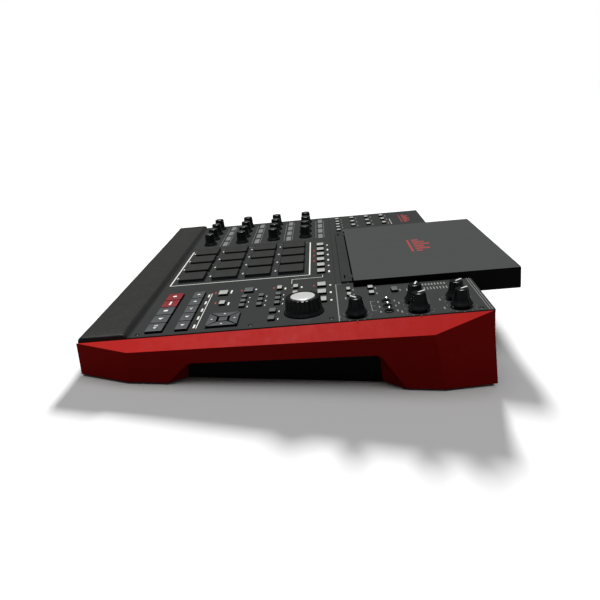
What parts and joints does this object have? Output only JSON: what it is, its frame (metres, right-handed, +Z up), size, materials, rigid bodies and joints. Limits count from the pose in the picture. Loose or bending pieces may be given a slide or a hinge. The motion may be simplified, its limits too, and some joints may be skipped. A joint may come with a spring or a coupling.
{
  "type": "electronic drum pad",
  "caption": "Desktop pad controller with a sloping panel, silicone pads, knobs, keys, a data wheel, a tilting display and a padded palm rest between red cheeks.",
  "frame": {"origin": "centre of the bounding box's footprint, on the table", "axes": "+X to the player's right, +Y to the rear, where the connectors are, +Z up"},
  "size_m": [0.505, 0.4378, 0.0907],
  "materials": {
    "cheek_red": "satin moulded plastic",
    "case_black": "fine textured black",
    "panel_charcoal": "fine textured charcoal",
    "palm_leather": "grained black leatherette",
    "display_plastic": "satin dark grey",
    "display_glass": "dark, switched off",
    "hinge_plastic": "black",
    "steel": "satin",
    "pad_silicone": "matt grey silicone",
    "key_silicone": "matt grey, two keys red",
    "knob_black": "black, ribbed",
    "wheel_cap": "silver disc",
    "toggle_metal": "bright",
    "foot_rubber": "matt black",
    "circuit_board": "green board, black socket block"
  },
  "bodies": {
    "chassis": {"bottom_case": "case_black", "top_panel": "panel_charcoal", "right_cheek": "cheek_red", "left_cheek": "cheek_red", "palm_rest": "palm_leather", "rear_panel": "case_black", "foot_front_right": "foot_rubber", "foot_front_left": "foot_rubber", "foot_rear_right": "foot_rubber", "foot_rear_left": "foot_rubber", "hinge_cover": "hinge_plastic", "hinge_rod": "steel", "main_board": "circuit_board"},
    "display": {"display_shell": "display_plastic", "display_glass": "display_glass"},
    "data_wheel": {"data_wheel": "knob_black", "data_wheel_cap": "wheel_cap"},
    "pad_r1c1": {"pad_r1c1": "pad_silicone"},
    "pad_r1c2": {"pad_r1c2": "pad_silicone"},
    "pad_r1c3": {"pad_r1c3": "pad_silicone"},
    "pad_r1c4": {"pad_r1c4": "pad_silicone"},
    "pad_r2c1": {"pad_r2c1": "pad_silicone"},
    "pad_r2c2": {"pad_r2c2": "pad_silicone"},
    "pad_r2c3": {"pad_r2c3": "pad_silicone"},
    "pad_r2c4": {"pad_r2c4": "pad_silicone"},
    "pad_r3c1": {"pad_r3c1": "pad_silicone"},
    "pad_r3c2": {"pad_r3c2": "pad_silicone"},
    "pad_r3c3": {"pad_r3c3": "pad_silicone"},
    "pad_r3c4": {"pad_r3c4": "pad_silicone"},
    "pad_r4c1": {"pad_r4c1": "pad_silicone"},
    "pad_r4c2": {"pad_r4c2": "pad_silicone"},
    "pad_r4c3": {"pad_r4c3": "pad_silicone"},
    "pad_r4c4": {"pad_r4c4": "pad_silicone"},
    "link_knob_r1c1": {"link_knob_r1c1": "knob_black"},
    "link_knob_r1c2": {"link_knob_r1c2": "knob_black"},
    "link_knob_r1c3": {"link_knob_r1c3": "knob_black"},
    "link_knob_r1c4": {"link_knob_r1c4": "knob_black"},
    "link_knob_r2c1": {"link_knob_r2c1": "knob_black"},
    "link_knob_r2c2": {"link_knob_r2c2": "knob_black"},
    "link_knob_r2c3": {"link_knob_r2c3": "knob_black"},
    "link_knob_r2c4": {"link_knob_r2c4": "knob_black"},
    "link_knob_r3c1": {"link_knob_r3c1": "knob_black"},
    "link_knob_r3c2": {"link_knob_r3c2": "knob_black"},
    "link_knob_r3c3": {"link_knob_r3c3": "knob_black"},
    "link_knob_r3c4": {"link_knob_r3c4": "knob_black"},
    "link_knob_r4c1": {"link_knob_r4c1": "knob_black"},
    "link_knob_r4c2": {"link_knob_r4c2": "knob_black"},
    "link_knob_r4c3": {"link_knob_r4c3": "knob_black"},
    "link_knob_r4c4": {"link_knob_r4c4": "knob_black"},
    "pot_knob_1": {"pot_knob_1": "knob_black"},
    "pot_knob_2": {"pot_knob_2": "knob_black"},
    "pot_knob_3": {"pot_knob_3": "knob_black"},
    "pot_knob_4": {"pot_knob_4": "knob_black"},
    "pot_knob_5": {"pot_knob_5": "knob_black"},
    "toggle_lever_1": {"toggle_lever_1": "toggle_metal"},
    "toggle_lever_2": {"toggle_lever_2": "toggle_metal"},
    "toggle_lever_3": {"toggle_lever_3": "toggle_metal"},
    "right_keypad": {"right_keypad": "key_silicone"},
    "centre_keypad": {"centre_keypad": "key_silicone"},
    "left_keypad": {"left_keypad": "key_silicone"}
  },
  "joints": [
    {"name": "display_tilt", "type": "hinge", "parent": "chassis", "child": "display", "pos_m": [0.005, 0.0361, 0.06151], "axis": [1, 0, 0], "range_deg": [0, 60]},
    {"name": "data_wheel_turn", "type": "hinge", "parent": "chassis", "child": "data_wheel", "pos_m": [0.2045, -0.00963, 0.05654], "axis": [0, -0.108, 0.9942], "continuous": true},
    {"name": "pad_r1c1_press", "type": "slide", "parent": "chassis", "child": "pad_r1c1", "axis": [0, 0.108, -0.9942], "range_m": [0, 0.001], "stiffness_N_per_m": 4000, "springref_m": -0.0002},
    {"name": "pad_r1c2_press", "type": "slide", "parent": "chassis", "child": "pad_r1c2", "axis": [0, 0.108, -0.9942], "range_m": [0, 0.001], "stiffness_N_per_m": 4000, "springref_m": -0.0002},
    {"name": "pad_r1c3_press", "type": "slide", "parent": "chassis", "child": "pad_r1c3", "axis": [0, 0.108, -0.9942], "range_m": [0, 0.001], "stiffness_N_per_m": 4000, "springref_m": -0.0002},
    {"name": "pad_r1c4_press", "type": "slide", "parent": "chassis", "child": "pad_r1c4", "axis": [0, 0.108, -0.9942], "range_m": [0, 0.001], "stiffness_N_per_m": 4000, "springref_m": -0.0002},
    {"name": "pad_r2c1_press", "type": "slide", "parent": "chassis", "child": "pad_r2c1", "axis": [0, 0.108, -0.9942], "range_m": [0, 0.001], "stiffness_N_per_m": 4000, "springref_m": -0.0002},
    {"name": "pad_r2c2_press", "type": "slide", "parent": "chassis", "child": "pad_r2c2", "axis": [0, 0.108, -0.9942], "range_m": [0, 0.001], "stiffness_N_per_m": 4000, "springref_m": -0.0002},
    {"name": "pad_r2c3_press", "type": "slide", "parent": "chassis", "child": "pad_r2c3", "axis": [0, 0.108, -0.9942], "range_m": [0, 0.001], "stiffness_N_per_m": 4000, "springref_m": -0.0002},
    {"name": "pad_r2c4_press", "type": "slide", "parent": "chassis", "child": "pad_r2c4", "axis": [0, 0.108, -0.9942], "range_m": [0, 0.001], "stiffness_N_per_m": 4000, "springref_m": -0.0002},
    {"name": "pad_r3c1_press", "type": "slide", "parent": "chassis", "child": "pad_r3c1", "axis": [0, 0.108, -0.9942], "range_m": [0, 0.001], "stiffness_N_per_m": 4000, "springref_m": -0.0002},
    {"name": "pad_r3c2_press", "type": "slide", "parent": "chassis", "child": "pad_r3c2", "axis": [0, 0.108, -0.9942], "range_m": [0, 0.001], "stiffness_N_per_m": 4000, "springref_m": -0.0002},
    {"name": "pad_r3c3_press", "type": "slide", "parent": "chassis", "child": "pad_r3c3", "axis": [0, 0.108, -0.9942], "range_m": [0, 0.001], "stiffness_N_per_m": 4000, "springref_m": -0.0002},
    {"name": "pad_r3c4_press", "type": "slide", "parent": "chassis", "child": "pad_r3c4", "axis": [0, 0.108, -0.9942], "range_m": [0, 0.001], "stiffness_N_per_m": 4000, "springref_m": -0.0002},
    {"name": "pad_r4c1_press", "type": "slide", "parent": "chassis", "child": "pad_r4c1", "axis": [0, 0.108, -0.9942], "range_m": [0, 0.001], "stiffness_N_per_m": 4000, "springref_m": -0.0002},
    {"name": "pad_r4c2_press", "type": "slide", "parent": "chassis", "child": "pad_r4c2", "axis": [0, 0.108, -0.9942], "range_m": [0, 0.001], "stiffness_N_per_m": 4000, "springref_m": -0.0002},
    {"name": "pad_r4c3_press", "type": "slide", "parent": "chassis", "child": "pad_r4c3", "axis": [0, 0.108, -0.9942], "range_m": [0, 0.001], "stiffness_N_per_m": 4000, "springref_m": -0.0002},
    {"name": "pad_r4c4_press", "type": "slide", "parent": "chassis", "child": "pad_r4c4", "axis": [0, 0.108, -0.9942], "range_m": [0, 0.001], "stiffness_N_per_m": 4000, "springref_m": -0.0002},
    {"name": "link_knob_r1c1_turn", "type": "hinge", "parent": "chassis", "child": "link_knob_r1c1", "pos_m": [-0.21461, -0.14782, 0.04153], "axis": [0, -0.108, 0.9942], "continuous": true},
    {"name": "link_knob_r1c2_turn", "type": "hinge", "parent": "chassis", "child": "link_knob_r1c2", "pos_m": [-0.18084, -0.14782, 0.04153], "axis": [0, -0.108, 0.9942], "continuous": true},
    {"name": "link_knob_r1c3_turn", "type": "hinge", "parent": "chassis", "child": "link_knob_r1c3", "pos_m": [-0.14707, -0.14782, 0.04153], "axis": [0, -0.108, 0.9942], "continuous": true},
    {"name": "link_knob_r1c4_turn", "type": "hinge", "parent": "chassis", "child": "link_knob_r1c4", "pos_m": [-0.1133, -0.14782, 0.04153], "axis": [0, -0.108, 0.9942], "continuous": true},
    {"name": "link_knob_r2c1_turn", "type": "hinge", "parent": "chassis", "child": "link_knob_r2c1", "pos_m": [-0.21461, -0.10268, 0.04643], "axis": [0, -0.108, 0.9942], "continuous": true},
    {"name": "link_knob_r2c2_turn", "type": "hinge", "parent": "chassis", "child": "link_knob_r2c2", "pos_m": [-0.18084, -0.10268, 0.04643], "axis": [0, -0.108, 0.9942], "continuous": true},
    {"name": "link_knob_r2c3_turn", "type": "hinge", "parent": "chassis", "child": "link_knob_r2c3", "pos_m": [-0.14707, -0.10268, 0.04643], "axis": [0, -0.108, 0.9942], "continuous": true},
    {"name": "link_knob_r2c4_turn", "type": "hinge", "parent": "chassis", "child": "link_knob_r2c4", "pos_m": [-0.1133, -0.10268, 0.04643], "axis": [0, -0.108, 0.9942], "continuous": true},
    {"name": "link_knob_r3c1_turn", "type": "hinge", "parent": "chassis", "child": "link_knob_r3c1", "pos_m": [-0.21461, -0.05755, 0.05133], "axis": [0, -0.108, 0.9942], "continuous": true},
    {"name": "link_knob_r3c2_turn", "type": "hinge", "parent": "chassis", "child": "link_knob_r3c2", "pos_m": [-0.18084, -0.05755, 0.05133], "axis": [0, -0.108, 0.9942], "continuous": true},
    {"name": "link_knob_r3c3_turn", "type": "hinge", "parent": "chassis", "child": "link_knob_r3c3", "pos_m": [-0.14707, -0.05755, 0.05133], "axis": [0, -0.108, 0.9942], "continuous": true},
    {"name": "link_knob_r3c4_turn", "type": "hinge", "parent": "chassis", "child": "link_knob_r3c4", "pos_m": [-0.1133, -0.05755, 0.05133], "axis": [0, -0.108, 0.9942], "continuous": true},
    {"name": "link_knob_r4c1_turn", "type": "hinge", "parent": "chassis", "child": "link_knob_r4c1", "pos_m": [-0.21461, -0.01242, 0.05624], "axis": [0, -0.108, 0.9942], "continuous": true},
    {"name": "link_knob_r4c2_turn", "type": "hinge", "parent": "chassis", "child": "link_knob_r4c2", "pos_m": [-0.18084, -0.01242, 0.05624], "axis": [0, -0.108, 0.9942], "continuous": true},
    {"name": "link_knob_r4c3_turn", "type": "hinge", "parent": "chassis", "child": "link_knob_r4c3", "pos_m": [-0.14707, -0.01242, 0.05624], "axis": [0, -0.108, 0.9942], "continuous": true},
    {"name": "link_knob_r4c4_turn", "type": "hinge", "parent": "chassis", "child": "link_knob_r4c4", "pos_m": [-0.1133, -0.01242, 0.05624], "axis": [0, -0.108, 0.9942], "continuous": true},
    {"name": "pot_knob_1_turn", "type": "hinge", "parent": "chassis", "child": "pot_knob_1", "pos_m": [0.2255, 0.03888, 0.06181], "axis": [0, -0.108, 0.9942], "range_deg": [-150, 150]},
    {"name": "pot_knob_2_turn", "type": "hinge", "parent": "chassis", "child": "pot_knob_2", "pos_m": [0.225, 0.09624, 0.06804], "axis": [0, -0.108, 0.9942], "range_deg": [-150, 150]},
    {"name": "pot_knob_3_turn", "type": "hinge", "parent": "chassis", "child": "pot_knob_3", "pos_m": [0.224, 0.13502, 0.07225], "axis": [0, -0.108, 0.9942], "range_deg": [-150, 150]},
    {"name": "pot_knob_4_turn", "type": "hinge", "parent": "chassis", "child": "pot_knob_4", "pos_m": [0.2, 0.09624, 0.06804], "axis": [0, -0.108, 0.9942], "range_deg": [-150, 150]},
    {"name": "pot_knob_5_turn", "type": "hinge", "parent": "chassis", "child": "pot_knob_5", "pos_m": [0.2, 0.13502, 0.07225], "axis": [0, -0.108, 0.9942], "range_deg": [-150, 150]},
    {"name": "toggle_lever_1_flip", "type": "hinge", "parent": "chassis", "child": "toggle_lever_1", "pos_m": [0.1925, 0.06962, 0.06314], "axis": [0, 0.9942, 0.108], "range_deg": [-44, 0]},
    {"name": "toggle_lever_2_flip", "type": "hinge", "parent": "chassis", "child": "toggle_lever_2", "pos_m": [0.207, 0.06962, 0.06314], "axis": [0, 0.9942, 0.108], "range_deg": [-44, 0]},
    {"name": "toggle_lever_3_flip", "type": "hinge", "parent": "chassis", "child": "toggle_lever_3", "pos_m": [0.221, 0.06962, 0.06314], "axis": [0, 0.9942, 0.108], "range_deg": [-44, 0]},
    {"name": "right_keypad_press", "type": "slide", "parent": "chassis", "child": "right_keypad", "axis": [0, 0.108, -0.9942], "range_m": [0, 0.0012], "stiffness_N_per_m": 4000, "springref_m": -0.0003},
    {"name": "centre_keypad_press", "type": "slide", "parent": "chassis", "child": "centre_keypad", "axis": [0, 0.108, -0.9942], "range_m": [0, 0.0012], "stiffness_N_per_m": 4000, "springref_m": -0.0003},
    {"name": "left_keypad_press", "type": "slide", "parent": "chassis", "child": "left_keypad", "axis": [0, 0.108, -0.9942], "range_m": [0, 0.0012], "stiffness_N_per_m": 4000, "springref_m": -0.0003}
  ]
}
